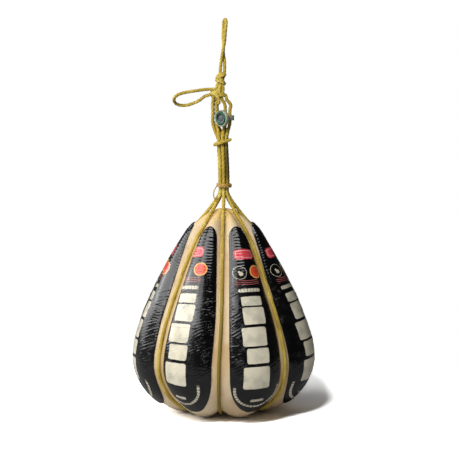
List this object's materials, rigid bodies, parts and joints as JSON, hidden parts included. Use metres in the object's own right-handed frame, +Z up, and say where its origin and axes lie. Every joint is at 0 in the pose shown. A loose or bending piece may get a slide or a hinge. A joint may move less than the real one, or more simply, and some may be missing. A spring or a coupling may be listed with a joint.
{
  "type": "provolone cheese",
  "caption": "Whole pear-shaped provolone pressed into lobes by its rope harness, with a long film label on every lobe, a round seal, knots, a bow and a hanging loop.",
  "frame": {"origin": "centre of the base, on the surface the cheese stands on", "axes": "+Z up along the cheese's axis to the hanging loop; -Y is the front, with one rope valley in its middle; +X is to the right seen from the front"},
  "size_m": [0.2915, 0.2915, 0.6265],
  "materials": {
    "cheese_rind": "waxy, pale ivory to straw, faintly glossy",
    "label_film": "shrunk black film, glossy, fine wrinkles, plain cream, red and gold shapes",
    "rope": "twisted waxed cord, straw yellow, darker in the lay",
    "twine": "thin waxed twine",
    "seal_shell": "milky plastic, satin",
    "seal_cap": "green lacquered cap, glossy, plain raised ring",
    "seal_clip": "dark, satin"
  },
  "bodies": {
    "root": {"cheese": "cheese_rind", "label_1": "label_film", "label_2": "label_film", "label_3": "label_film", "label_4": "label_film", "label_5": "label_film", "label_6": "label_film", "label_7": "label_film", "label_8": "label_film", "strand_1": "rope", "strand_2": "rope", "strand_3": "rope", "strand_4": "rope", "strand_5": "rope", "strand_6": "rope", "strand_7": "rope", "strand_8": "rope", "base_ring": "rope", "lower_binding": "twine", "upper_binding": "rope", "slip_hitch": "rope", "bow_loop": "rope", "top_knot": "rope", "hanging_loop": "rope", "seal_cup": "seal_shell", "seal_cap": "seal_cap", "seal_strap": "seal_shell", "seal_clip": "seal_clip"}
  },
  "joints": []
}
